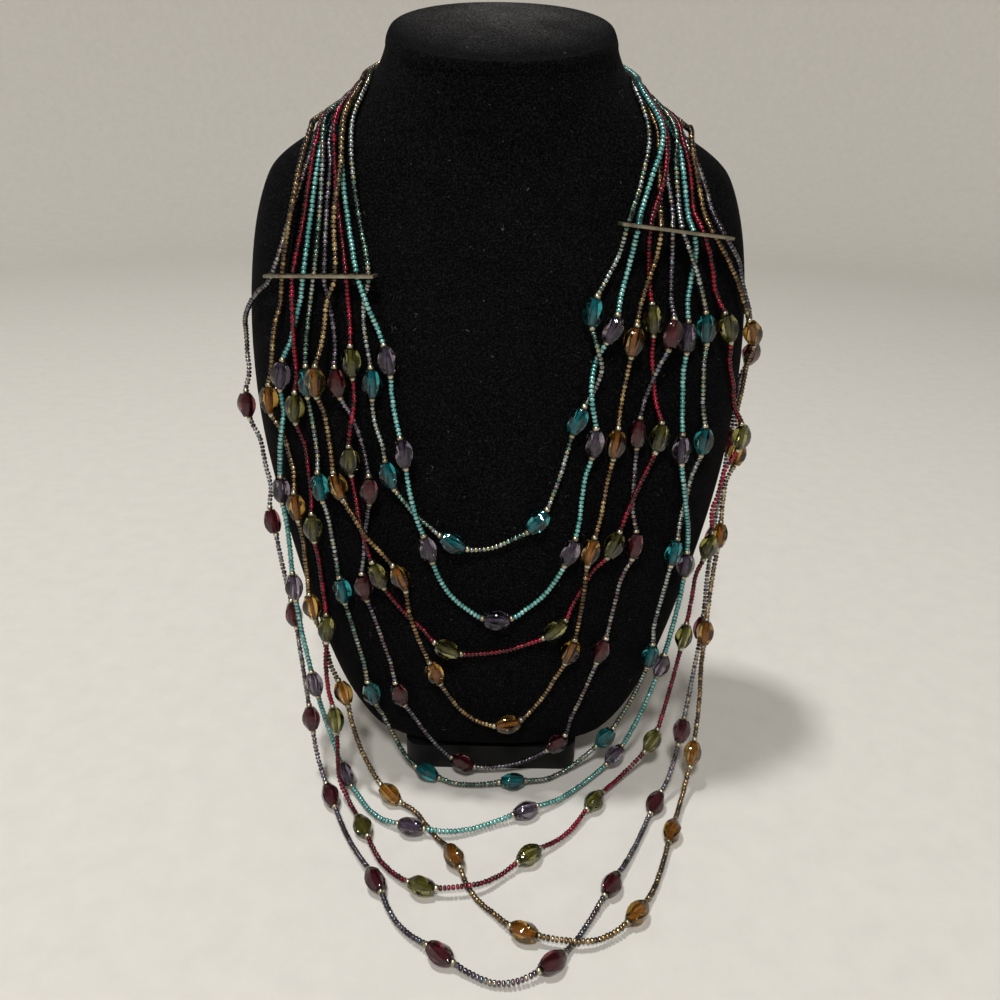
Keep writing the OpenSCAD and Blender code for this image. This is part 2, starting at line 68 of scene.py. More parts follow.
# Width of each family's coloured lining as a share of the bead's: garnet's is the widest
LINING_SHARES = {"teal": 0.22, "amethyst": 0.19, "olive": 0.22, "amber": 0.22, "garnet": 0.46}
# Width of each family's seeds as a share of the seed diameter: silver-lined aqua is the widest
SEED_WIDTHS = {"iris_green": 1, "aqua": 1.04, "ruby": 0.97, "bronze": 1.02, "iris_purple": 0.98}

# Middle of the bust's slanted top in millimetres, and its forward slant
TOP_MIDDLE = (0, 42, 334)
TOP_SLANT = math.radians(20)

# Each spacer bar's middle in millimetres, then in degrees the turn in plan that sets its outer
# end back and its outward drop, and last the side that it is on
BARS = {
    "spacer_bar_left": ((-73, -21, 241), 22, 4.5, -1),
    "spacer_bar_right": ((71.5, -21, 261), 22, 8, 1),
}

# Points of a CAD mesh this close together are one
SAME_POINT = 0.002 * MM
# Sides of the tube that stands for a string in the CAD model
TUBE_SIDES = 8
# Wall of a seed bead or round brass bead as a share of its diameter
WALL_SHARE = 0.2
# Length of a glass bead's lining as a share of the bead's
LINING_REACH = 0.93
# How far at most the swirls in the glass shift a seed bead's shade, and how far at most one
# bead's shade is from the next one's, both along the palette
SWIRL_SHIFT = 0.3
TONE_STEP = 0.45
# Half the stretch of string that a spacer bar takes, as a share of the bar's height
BAR_ROOM = 0.55
# Shortest stretch of string that gets a seed bead, as a share of the seed pitch
SHORTEST_STRETCH = 0.6


def linear(code):
    """An sRGB hex value as the linear colour that Blender works in."""
    parts = [int(code[i:i + 2], 16) / 255 for i in (1, 3, 5)]
    return [c / 12.92 if c <= 0.04045 else ((c + 0.055) / 1.055) ** 2.4 for c in parts] + [1.0]


def scaled(shade, share):
    """A colour made darker, each part of it by the same share."""
    return [c * share for c in shade[:3]] + [1.0]


def grey(level):
    """A grey of a linear level."""
    return [level, level, level, 1.0]


def length(name, text, default):
    """A size that a user can change, given in millimetres."""
    return FloatProperty(
        name=name, description=text, default=default * MM, unit="LENGTH", precision=5
    )


def colour(name, text, code):
    """A colour that a user can change, given as sRGB hex."""
    return FloatVectorProperty(
        name=name, description=text, subtype="COLOR", size=4, min=0, max=1,
        default=linear(code),
    )


class SeedSizes(bpy.types.PropertyGroup):
    """Sizes of the seed beads and of what is threaded between them."""

    diameter: length("Seed diameter", "Across one seed bead", 2.6)
    bead_length: length("Seed length", "Along the string", 1.5)
    pitch: length("Seed pitch", "From one seed to the next on a full string", 1.78)
    thread: length("Thread diameter", "Nylon thread inside the beads", 0.25)
    round_diameter: length("Round bead diameter", "Brass bead at a glass bead's end", 2.9)
    round_length: length("Round bead length", "Along the string", 2.1)
    spread: FloatProperty(
        name="Size spread", description="How much seed beads differ in size",
        default=0.05, min=0, max=0.2, subtype="FACTOR",
    )
    tilt: FloatProperty(
        name="Tilt", description="How far a seed bead leans on its thread",
        default=math.radians(11), min=0, subtype="ANGLE",
    )
    play: length("Play", "How far a seed bead sits off the middle of its thread", 0.09)


class GlassSizes(bpy.types.PropertyGroup):
    """Sizes of the large glass beads."""

    diameter: length("Glass diameter", "Across a glass bead's rounded corners", 8.7)
    bead_length: length("Glass length", "Along the string", 11)
    end_diameter: length("End diameter", "Across a glass bead's flat ends", 4.6)
    bore: length("Bore", "Hole for the thread", 1.1)
    twist: FloatProperty(
        name="Twist", description="Turn of the facets from end to end",
        default=math.radians(38), subtype="ANGLE",
    )


class BarSizes(bpy.types.PropertyGroup):
    """Sizes of the spacer bars."""

    bar_length: length("Bar length", "From end to end", 53)
    depth: length("Bar depth", "From front to back", 4.4)
    height: length("Bar height", "Along the strings", 1.2)
    hole_pitch: length("Hole pitch", "From one string to the next", 5.2)
    hole: length("Hole diameter", "Hole that a thread runs through", 1.1)


class BustSizes(bpy.types.PropertyGroup):
    """Sizes of the velvet bust's finish."""

    lip_height: length("Lip height", "Of the flared rim round the neck's flat top", 4.5)
    lip: length("Lip", "How far the rim stands out from the neck", 0.9)
    dome: length("Dome", "How far the padded top rises above its rim", 1.2)
    levels: IntProperty(name="Levels", description="Subdivision of the bust", default=2, min=0)


class FinishColours(bpy.types.PropertyGroup):
    """Colours that a user can change."""

    velvet: colour("Velvet", "Pile of the bust", "#050506")
    table: colour("Table", "Floor of the stage", "#d9d5cd")
    teal: colour("Teal glass", "Lining of the teal beads", "#0a808a")
    amethyst: colour("Amethyst glass", "Lining of the amethyst beads", "#5e5068")
    olive: colour("Olive glass", "Lining of the olive beads", "#6f6c22")
    amber: colour("Amber glass", "Lining of the amber beads", "#b06c1a")
    garnet: colour("Garnet glass", "Lining of the garnet beads", "#64222a")


def add_node(tree, kind, settings=None, links=None):
    """One shader node with its settings, input values and what feeds its inputs, each by name."""
    node = tree.nodes.new("ShaderNode" + kind)
    for name, value in (settings or {}).items():
        if name == "stops":
            ramp = node.color_ramp.elements
            while len(ramp) > 1:
                ramp.remove(ramp[0])
            ramp[0].position, ramp[0].color = value[0]
            for place, shade in value[1:]:
                ramp.new(place).color = shade
        elif isinstance(name, int) or name in node.inputs:
            node.inputs[name].default_value = value
        else:
            setattr(node, name, value)
    for name, source in (links or {}).items():
        tree.links.new(source, node.inputs[name])
    return node


def per_mm(size):
    """Texture scale whose pattern repeats every so many millimetres."""
    return 1 / (size * MM)


def blank_material(name):
    """A material with an empty node tree, and the tree."""
    material = bpy.data.materials.new(name)
    material.use_nodes = True
    material.node_tree.nodes.clear()
    return material, material.node_tree


def seed_glass(name, shades, metallic, roughness, shadow, coat):
    """Finish of one family of seed beads: each its own shade, dark in its hole and with painted
    shade at its edge.
    """
    material, tree = blank_material(name)
    tone = add_node(tree, "Attribute", {"attribute_name": "tone"})
    hole = add_node(tree, "Attribute", {"attribute_name": "hole"})
    place = add_node(tree, "TexCoord")
    swirl = add_node(
        tree, "TexNoise", {"Scale": per_mm(1.1), "Detail": 2.0, "Roughness": 0.6},
        {"Vector": place.outputs["Object"]},
    )
    shift = add_node(
        tree, "Math", {"operation": "MULTIPLY_ADD", 1: 2 * SWIRL_SHIFT, 2: -SWIRL_SHIFT},
        {0: swirl.outputs["Fac"]},
    )
    mixed = add_node(
        tree, "Math", {"operation": "ADD", "use_clamp": True},
        {0: tone.outputs["Fac"], 1: shift.outputs["Value"]},
    )
    stops = [(i / (len(shades) - 1), linear(code)) for i, code in enumerate(shades)]
    glaze = add_node(tree, "ValToRGB", {"stops": stops}, {"Fac": mixed.outputs["Value"]})
    inner_shadow = add_node(
        tree, "ValToRGB", {"stops": [(0.1, grey(1)), (0.6, grey(shadow))]},
        {"Fac": hole.outputs["Fac"]},
    )
    hollow = add_node(
        tree, "MixRGB", {"blend_type": "MULTIPLY", "Fac": 1.0},
        {"Color1": glaze.outputs["Color"], "Color2": inner_shadow.outputs["Color"]},
    )
    # Painted shade: the colour darkens where the glass is seen edge on, partly for the long way
    # through the glass and partly for the shade in the gaps between seeds, so that each seed shows
    # as a lit dot
    edge = add_node(tree, "LayerWeight", {"Blend": 0.5})
    painted_edge_shade = add_node(
        tree, "ValToRGB", {"stops": [(0.1, grey(1)), (0.52, grey(shadow))]},
        {"Fac": edge.outputs["Facing"]},
    )
    shade = add_node(
        tree, "MixRGB", {"blend_type": "MULTIPLY", "Fac": 1.0},
        {"Color1": hollow.outputs["Color"], "Color2": painted_edge_shade.outputs["Color"]},
    )
    grain = add_node(
        tree, "Bump", {"Strength": 0.25, "Distance": 0.05 * MM},
        {"Height": swirl.outputs["Fac"]},
    )
    shader = add_node(
        tree, "BsdfPrincipled",
        {"Metallic": metallic, "Roughness": roughness, "Coat Weight": coat,
         "Coat Roughness": 0.12, "Coat IOR": 1.8},
        {"Base Color": shade.outputs["Color"], "Normal": grain.outputs["Normal"]},
    )
    add_node(tree, "OutputMaterial", links={"Surface": shader.outputs["BSDF"]})
    return material


def seed_materials():
    """The five families of drawn glass seed beads."""
    return {
        # Glass with a fired metal-oxide film: dark, mirror-like, green to bronze and violet
        "iris_green": seed_glass(
            "iris_green_glass_seeds",
            ["#22342f", "#84aa96", "#3c5c52", "#b4ad8c", "#464459", "#acb8b2"],
            metallic=0.7, roughness=0.17, shadow=0.05, coat=0.2,
        ),
        # Clear aqua glass with a silver-lined bore: pale, bright from within
        "aqua": seed_glass(
            "silver_lined_aqua_seeds",
            ["#3f928e", "#7cc2ba", "#4e9e99", "#98d2ca", "#4a9a9c"],
            metallic=0.35, roughness=0.2, shadow=0.2, coat=0.6,
        ),
        # Transparent red glass with a dull lining
        "ruby": seed_glass(
            "ruby_glass_seeds",
            ["#4c0312", "#860a24", "#34000a", "#a01230"],
            metallic=0.5, roughness=0.18, shadow=0.2, coat=0.1,
        ),
        # Bronze-coated glass, rubbed warm
        "bronze": seed_glass(
            "bronze_coated_seeds",
            ["#4c371c", "#ac8a5a", "#685030", "#c6aa7a", "#4a3828"],
            metallic=0.7, roughness=0.18, shadow=0.05, coat=0.2,
        ),
        # Dark glass with a violet oxide film, going blue, green and grey
        "iris_purple": seed_glass(
            "iris_purple_glass_seeds",
            ["#35303a", "#9a8f9e", "#453a4c", "#7b8a90", "#aba18c", "#54404f"],
            metallic=0.7, roughness=0.17, shadow=0.05, coat=0.2,
        ),
    }


def brass_material(name, light, dark, roughness, tarnish_size):
    """Brass, polished or aged, with a tarnish that lies in patches."""
    material, tree = blank_material(name)
    place = add_node(tree, "TexCoord")
    patches = add_node(
        tree, "TexNoise", {"Scale": per_mm(tarnish_size), "Detail": 5.0, "Roughness": 0.65},
        {"Vector": place.outputs["Object"]},
    )
    shade = add_node(
        tree, "ValToRGB", {"stops": [(0.35, linear(dark)), (0.65, linear(light))]},
        {"Fac": patches.outputs["Fac"]},
    )
    # Tarnish is rougher than the metal around it
    worn = add_node(
        tree, "MapRange", {"To Min": roughness + 0.12, "To Max": roughness},
        {"Value": patches.outputs["Fac"]},
    )
    grain = add_node(
        tree, "Bump", {"Strength": 0.3, "Distance": 0.03 * MM},
        {"Height": patches.outputs["Fac"]},
    )
    shader = add_node(
        tree, "BsdfPrincipled", {"Metallic": 1.0},
        {"Base Color": shade.outputs["Color"], "Roughness": worn.outputs["Result"],
         "Normal": grain.outputs["Normal"]},
    )
    add_node(tree, "OutputMaterial", links={"Surface": shader.outputs["BSDF"]})
    return material


def thread_material():
    """Beading thread: twisted nylon, grey-beige and slightly waxy."""
    material, tree = blank_material("waxed_nylon_thread")
    place = add_node(tree, "TexCoord")
    strand = add_node(
        tree, "TexWave", {"Scale": per_mm(0.5), "Distortion": 2.0},
        {"Vector": place.outputs["Object"]},
    )
    shade = add_node(
        tree, "ValToRGB", {"stops": [(0.0, linear("#6d675c")), (1.0, linear("#a39b8a"))]},
        {"Fac": strand.outputs["Fac"]},
    )
    shader = add_node(
        tree, "BsdfPrincipled", {"Roughness": 0.55}, {"Base Color": shade.outputs["Color"]}
    )
    add_node(tree, "OutputMaterial", links={"Surface": shader.outputs["BSDF"]})
    return material


def clear_glass(name, tint):
    """Clear outer layer of a glass bead: pressed, then fire-polished, with faint waves."""
    material, tree = blank_material(name)
    # Light crosses the layer on its way in and out, so that each crossing takes half the colour
    tint = [math.sqrt(c) for c in tint[:3]] + [1.0]
    # A bead's edges show the long way through it, so that they go deep and dark
    edge = add_node(tree, "LayerWeight", {"Blend": 0.5})
    depth = add_node(
        tree, "ValToRGB", {"stops": [(0.12, tint), (0.55, scaled(tint, 0.14))]},
        {"Fac": edge.outputs["Facing"]},
    )
    place = add_node(tree, "TexCoord")
    waves = add_node(
        tree, "TexNoise", {"Scale": per_mm(2.5), "Detail": 2.0},
        {"Vector": place.outputs["Object"]},
    )
    surface = add_node(
        tree, "Bump", {"Strength": 0.35, "Distance": 0.25 * MM},
        {"Height": waves.outputs["Fac"]},
    )
    shader = add_node(
        tree, "BsdfPrincipled",
        {"Roughness": 0.03, "IOR": 1.5, "Transmission Weight": 1.0},
        {"Base Color": depth.outputs["Color"], "Normal": surface.outputs["Normal"]},
    )
    add_node(tree, "OutputMaterial", links={"Surface": shader.outputs["BSDF"]})
    return material


def glass_lining(name, shade):
    """Coloured inner layer of a glass bead, streaked where the colour was drawn out."""
    material, tree = blank_material(name)
    place = add_node(tree, "TexCoord")
    streaks = add_node(
        tree, "TexNoise", {"Scale": per_mm(1.8), "Detail": 3.0, "Distortion": 0.6},
        {"Vector": place.outputs["Object"]},
    )
    # The clear layer over it darkens its colour, so that it is made lighter here
    middle = [c ** 0.6 for c in shade[:3]] + [1.0]
    dark = scaled(middle, 0.5)
    pale = [min(1.0, c * 1.4 + 0.02) for c in middle[:3]] + [1.0]
    mixed = add_node(
        tree, "ValToRGB", {"stops": [(0.3, dark), (0.5, middle), (0.72, pale)]},
        {"Fac": streaks.outputs["Fac"]},
    )
    shader = add_node(
        tree, "BsdfPrincipled",
        {"Roughness": 0.3, "IOR": 1.5, "Transmission Weight": 0.35},
        {"Base Color": mixed.outputs["Color"]},
    )
    add_node(tree, "OutputMaterial", links={"Surface": shader.outputs["BSDF"]})
    return material


def velvet_material(shade):
    """Cotton velvet on a board: deep black pile that catches light at a grazing angle."""
    material, tree = blank_material("black_cotton_velvet")
    place = add_node(tree, "TexCoord")
    brushed = add_node(
        tree, "TexNoise", {"Scale": per_mm(22), "Detail": 4.0, "Roughness": 0.6},
        {"Vector": place.outputs["Object"]},
    )
    # Pile is about 0.1 mm thick per tuft: drawn at 0.7 mm, the finest that shows
    pile = add_node(
        tree, "TexNoise", {"Scale": per_mm(0.7), "Detail": 3.0, "Roughness": 0.8},
        {"Vector": place.outputs["Object"]},
    )
    lint = add_node(
        tree, "TexNoise", {"Scale": per_mm(2.6), "Detail": 2.0, "Distortion": 1.5},
        {"Vector": place.outputs["Object"]},
    )
    nap = add_node(
        tree, "ValToRGB",
        {"stops": [(0.3, scaled(shade, 0.4)), (0.75, list(shade))]},
        {"Fac": brushed.outputs["Fac"]},
    )
    tufts = add_node(
        tree, "ValToRGB",
        {"stops": [(0.48, linear("#000000")), (0.75, linear("#2c2b2d"))]},
        {"Fac": pile.outputs["Fac"]},
    )
    body = add_node(
        tree, "MixRGB", {"blend_type": "ADD", "Fac": 0.7},
        {"Color1": nap.outputs["Color"], "Color2": tufts.outputs["Color"]},
    )
    fluff = add_node(
        tree, "ValToRGB",
        {"stops": [(0.72, linear("#000000")), (0.78, linear("#4a4845"))]},
        {"Fac": lint.outputs["Fac"]},
    )
    flecked = add_node(
        tree, "MixRGB", {"blend_type": "ADD", "Fac": 1.0},
        {"Color1": body.outputs["Color"], "Color2": fluff.outputs["Color"]},
    )
    # Dust settles in the middle of the flat top, where the pile is rubbed. Depth under that top
    # counts four times, so that the sides of the neck stay clean
    on_top = add_node(
        tree, "Mapping",
        {"vector_type": "TEXTURE", "Location": Vector(TOP_MIDDLE) * MM,
         "Rotation": (TOP_SLANT, 0, 0), "Scale": (1, 1, 0.25)},
        {"Vector": place.outputs["Object"]},
    )
    away = add_node(
        tree, "VectorMath", {"operation": "LENGTH"}, {0: on_top.outputs["Vector"]}
    )
    near = add_node(
        tree, "MapRange", {"From Min": 55 * MM, "From Max": 15 * MM},
        {"Value": away.outputs["Value"]},
    )
    fibres = add_node(
        tree, "MapRange", {"From Min": 0.4, "From Max": 0.65}, {"Value": pile.outputs["Fac"]}
    )
    rubbed = add_node(
        tree, "Math", {"operation": "MULTIPLY"},
        {0: near.outputs["Result"], 1: brushed.outputs["Fac"]},
    )
    dusty = add_node(
        tree, "Math", {"operation": "MULTIPLY"},
        {0: rubbed.outputs["Value"], 1: fibres.outputs["Result"]},
    )
    cloth = add_node(
        tree, "MixRGB", {"blend_type": "ADD", "Color2": linear("#7f7d7b")},
        {"Fac": dusty.outputs["Value"], "Color1": flecked.outputs["Color"]},
    )
    surface = add_node(
        tree, "Bump", {"Strength": 0.6, "Distance": 0.4 * MM},
        {"Height": pile.outputs["Fac"]},
    )
    shader = add_node(
        tree, "BsdfPrincipled",
        {"Roughness": 0.95, "Specular IOR Level": 0.03, "Sheen Weight": 0.04,
         "Sheen Roughness": 0.4, "Sheen Tint": linear("#8a8680")},
        {"Base Color": cloth.outputs["Color"], "Normal": surface.outputs["Normal"]},
    )
    add_node(tree, "OutputMaterial", links={"Surface": shader.outputs["BSDF"]})
    return material


def board_material():
    """Foot of fibreboard, sprayed with a matt black lacquer that keeps a fine orange peel."""
    material, tree = blank_material("black_lacquered_board")
    place = add_node(tree, "TexCoord")
    peel = add_node(
        tree, "TexNoise", {"Scale": per_mm(1.5), "Detail": 4.0},
        {"Vector": place.outputs["Object"]},
    )
    shade = add_node(
        tree, "ValToRGB", {"stops": [(0.3, linear("#040404")), (0.7, linear("#09090a"))]},
        {"Fac": peel.outputs["Fac"]},
    )
    surface = add_node(
        tree, "Bump", {"Strength": 0.3, "Distance": 0.1 * MM},
        {"Height": peel.outputs["Fac"]},
    )
    shader = add_node(
        tree, "BsdfPrincipled", {"Roughness": 0.55, "Specular IOR Level": 0.3},
        {"Base Color": shade.outputs["Color"], "Normal": surface.outputs["Normal"]},
    )
    add_node(tree, "OutputMaterial", links={"Surface": shader.outputs["BSDF"]})
    return material


def table_material(shade):
    """Matt white paper over a table, with the faint clouding of wood pulp."""
    material, tree = blank_material("white_table_paper")
    place = add_node(tree, "TexCoord")
    pulp = add_node(
        tree, "TexNoise", {"Scale": per_mm(14), "Detail": 6.0, "Roughness": 0.6},
        {"Vector": place.outputs["Object"]},
    )
    tint = add_node(
        tree, "ValToRGB",
        {"stops": [(0.3, scaled(shade, 0.94)), (0.7, list(shade))]},
        {"Fac": pulp.outputs["Fac"]},
    )
    shader = add_node(
        tree, "BsdfPrincipled", {"Roughness": 0.85, "Specular IOR Level": 0.2},
        {"Base Color": tint.outputs["Color"]},
    )
    add_node(tree, "OutputMaterial", links={"Surface": shader.outputs["BSDF"]})
    return material


def deselect():
    """Leaves nothing selected."""
    bpy.ops.object.select_all(action="DESELECT")


def named(name):
    """The object that was just added, with its own name."""
    piece = bpy.context.object
    piece.name = name
    piece.data.name = name
    return piece


def select_only(pieces):
    """Selects these objects and no others, the first of them active."""
    deselect()
    for piece in pieces:
        piece.select_set(True)
    bpy.context.view_layer.objects.active = pieces[0]


def edit(piece):
    """Opens a piece alone in edit mode, with nothing selected in it."""
    select_only([piece])
    bpy.ops.object.mode_set(mode="EDIT")
    bpy.ops.mesh.select_all(action="DESELECT")


def done():
    """Back to object mode."""
    bpy.ops.object.mode_set(mode="OBJECT")


def pick(piece, part, test):
    """In edit mode, selects the vertices, edges or faces that pass a test, and no others."""
    bpy.ops.mesh.select_all(action="DESELECT")
    bpy.ops.mesh.select_mode(type={"verts": "VERT", "edges": "EDGE", "faces": "FACE"}[part])
    mesh = bmesh.from_edit_mesh(piece.data)
    for item in getattr(mesh, part):
        item.select_set(bool(test(item)))
    mesh.select_flush_mode()
    bmesh.update_edit_mesh(piece.data)


def apply_modifier(piece, kind, **settings):
    """Adds a modifier and applies it at once."""
    select_only([piece])
    modifier = piece.modifiers.new(kind.lower(), kind)
    for name, value in settings.items():
        setattr(modifier, name, value)
    bpy.ops.object.modifier_apply(modifier=modifier.name)


def settle(piece):
    """Moves a piece's place into its mesh, so that its object sits at the origin."""
    piece.data.transform(piece.matrix_world)
    piece.matrix_world = Matrix.Identity(4)


def join(pieces, name):
    """Several objects as one named piece, the first one's materials first."""
    select_only(pieces)
    bpy.ops.object.join()
    return named(name)


def smooth(piece, angle):
    """Shades a piece smooth, apart from edges sharper than an angle."""
    select_only([piece])
    bpy.ops.object.shade_smooth_by_angle(angle=angle)


def discard(piece):
    """Removes a pattern piece once its copies are made."""
    mesh = piece.data
    bpy.data.objects.remove(piece)
    bpy.data.meshes.remove(mesh)


def copy_at(pattern, matrix, tone=None):
    """A copy of a pattern piece with its own mesh, put in place, with its own shade."""
    mesh = pattern.data.copy()
    mesh.transform(matrix)
    if tone is not None:
        shade = mesh.attributes.new("tone", "FLOAT", "POINT")
        shade.data.foreach_set("value", [tone] * len(mesh.vertices))
    piece = bpy.data.objects.new(pattern.name, mesh)
    bpy.context.scene.collection.objects.link(piece)
    return piece


def facing(point, heading, turn=0.0, lean=0.0, lean_way=0.0, size=(1, 1, 1)):
    """Matrix that puts a bead made along Z on a string, turned about it and leaning a little."""
    along = heading.to_track_quat("Z", "Y")
    sway = Quaternion((math.cos(lean_way), math.sin(lean_way), 0), lean)
    spin = Quaternion((0, 0, 1), turn)
    return (
        Matrix.Translation(point)
        @ (along @ sway @ spin).to_matrix().to_4x4()
        @ Matrix.Diagonal((*size, 1))
    )


def ring_centres(name):
    """Ring centres of a string's CAD tube, from the clasp's left side to its right side."""
    clasp_low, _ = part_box("clasp")
    margin = 5 * MM
    tube = bmesh.new()
    tube.from_mesh(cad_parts[name].data)
    bmesh.ops.remove_doubles(tube, verts=tube.verts, dist=SAME_POINT)
    behind = [
        v for v in tube.verts
        if v.co.x < 0 and v.co.y > clasp_low.y - margin and v.co.z > clasp_low.z - margin
    ]
    behind.sort(key=lambda v: -v.co.x)
    ring = set(behind[:TUBE_SIDES])
    seen = set(ring)
    centres = []
    while ring:
        # An exact sum is the same in whatever order the set gives its points
        centres.append(Vector([math.fsum(v.co[i] for v in ring) / len(ring) for i in range(3)]))
        ring = {e.other_vert(v) for v in ring for e in v.link_edges} - seen
        seen |= ring
    tube.free()
    return centres


def loose_centres(name):
    """Middle of each separate solid of a CAD node."""
    solids = bmesh.new()
    solids.from_mesh(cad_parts[name].data)
    bmesh.ops.remove_doubles(solids, verts=solids.verts, dist=SAME_POINT)
    left = set(solids.verts)
    centres = []
    while left:
        reached = {left.pop()}
        edge = set(reached)
        while edge:
            edge = {e.other_vert(v) for v in edge for e in v.link_edges} - reached
            reached |= edge
        left -= reached
        places = [v.co.copy() for v in reached]
        low = Vector([min(p[i] for p in places) for i in range(3)])
        high = Vector([max(p[i] for p in places) for i in range(3)])
        centres.append((low + high) / 2)
    solids.free()
    return centres


class StringLine:
    """Smooth middle line of one string, measured along its length."""

    # Points of the curve from one ring of the tube to the next
    STEPS = 6

    def __init__(self, number):
        self.number = number
        self.name = f"strand_{number:02d}"
        self.rings = ring_centres(self.name)
        self.points = self.curve(self.rings)
        self.at = [0.0]
        for a, b in zip(self.points, self.points[1:]):
            self.at.append(self.at[-1] + (b - a).length)
        self.total = self.at[-1]
        self.glass = self.glass_spans(f"glass_beads_{number:02d}")

    def curve(self, rings):
        """Points of a cubic curve through the rings."""
        last = len(rings) - 1
        points = []
        for i in range(last):
            a, b = rings[i], rings[i + 1]
            before, after = rings[max(i - 1, 0)], rings[min(i + 2, last)]
            span = (b - a).length
            u = (b - before) / max(span + (a - before).length, 1e-9) * span
            v = (after - a) / max((after - b).length + span, 1e-9) * span
            for step in range(self.STEPS):
                t = step / self.STEPS
                points.append(
                    (2 * t**3 - 3 * t**2 + 1) * a + (t**3 - 2 * t**2 + t) * u
                    + (3 * t**2 - 2 * t**3) * b + (t**3 - t**2) * v
                )
        points.append(rings[last])
        return points

    def glass_spans(self, node):
        """Where each glass bead starts and ends: the two rings on either side of its middle."""
        spans = []
        for middle in loose_centres(node):
            i = min(
                range(len(self.rings) - 1),
                key=lambda k: ((self.rings[k] + self.rings[k + 1]) / 2 - middle).length,
            )
            spans.append((self.at[i * self.STEPS], self.at[(i + 1) * self.STEPS]))
        return sorted(spans)

    def nearest(self, point):
        """Length along the string at which it passes closest to a point."""
        i = min(range(len(self.points)), key=lambda k: (self.points[k] - point).length)
        return self.at[i]

    def spot(self, s):
        """Point of the string and its heading at a length along it."""
        low, high = 0, len(self.at) - 1
        while high - low > 1:
            middle = (low + high) // 2
            if self.at[middle] <= s:
                low = middle
            else:
                high = middle
        a, b = self.points[low], self.points[low + 1]
        share = (s - self.at[low]) / max(self.at[low + 1] - self.at[low], 1e-9)
        return a.lerp(b, share), (b - a).normalized()


LINES = {}


def string_line(number):
    """A string's middle line, worked out once."""
    if number not in LINES:
        LINES[number] = StringLine(number)
    return LINES[number]


def bar_frame(name):
    """Matrix that places a spacer bar made along X."""
    middle, turn, drop, side = BARS[name]
    return (
        Matrix.Translation(Vector(middle) * MM)
        @ Matrix.Rotation(math.radians(turn) * side, 4, "Z")
        @ Matrix.Rotation(math.radians(drop) * side, 4, "Y")
    )


def bar_holes(name):
    """Middle of each hole of a bar, the innermost string's first."""
    sizes = bpy.context.scene.necklace_bars
    side = BARS[name][3]
    return [
        bar_frame(name) @ Vector((side * sizes.hole_pitch * (k - (STRAND_COUNT - 1) / 2), 0, 0))
        for k in range(STRAND_COUNT)
    ]


def bead_spans(line):
    """Stretches of a string that seed beads fill, and the places of its round brass beads."""
    seeds = bpy.context.scene.necklace_seeds
    bars = bpy.context.scene.necklace_bars
    blocks = []
    rounds = []
    for start, end in line.glass:
        blocks.append((start - seeds.round_length, end + seeds.round_length))
        rounds.append(start - seeds.round_length / 2)
        rounds.append(end + seeds.round_length / 2)
    for name in BARS:
        at = line.nearest(bar_holes(name)[line.number - 1])
        blocks.append((at - bars.height * BAR_ROOM, at + bars.height * BAR_ROOM))
    blocks.sort()
    starts = [0.0] + [b for a, b in blocks]
    ends = [a for a, b in blocks] + [line.total]
    shortest = seeds.pitch * SHORTEST_STRETCH
    return [(a, b) for a, b in zip(starts, ends) if b - a > shortest], rounds


def ring_bead(name, diameter, bead_length, wall, around, across):
    """A bead along Z, round all over, with its hole: a torus drawn out to the bead's length."""
    deselect()
    bpy.ops.mesh.primitive_torus_add(
        major_segments=around, minor_segments=across,
        major_radius=diameter / 2 - wall, minor_radius=wall,
    )
    bead = named(name)
    edit(bead)
    bpy.ops.mesh.select_all(action="SELECT")
    height = max(v.co.z for v in bmesh.from_edit_mesh(bead.data).verts) * 2
    bpy.ops.transform.resize(value=(1, 1, bead_length / height))
    done()
    smooth(bead, math.radians(80))
    return bead


def seed_pattern(sizes):
    """One seed bead: a slice of drawn glass tube with fire-rounded edges."""
    wall = sizes.diameter * WALL_SHARE
    seed = ring_bead("seed", sizes.diameter, sizes.bead_length, wall, around=10, across=5)
    # Towards its hole the bead lies in shadow
    middle = sizes.diameter / 2 - wall
    hole = seed.data.attributes.new("hole", "FLOAT", "POINT")
    hole.data.foreach_set("value", [float(v.co.xy.length < middle) for v in seed.data.vertices])
    return seed


def round_pattern(sizes):
    """One round brass bead, with the dimple of its hole at both ends."""
    wall = sizes.round_diameter * WALL_SHARE
    return ring_bead("round", sizes.round_diameter, sizes.round_length, wall, around=12, across=6)


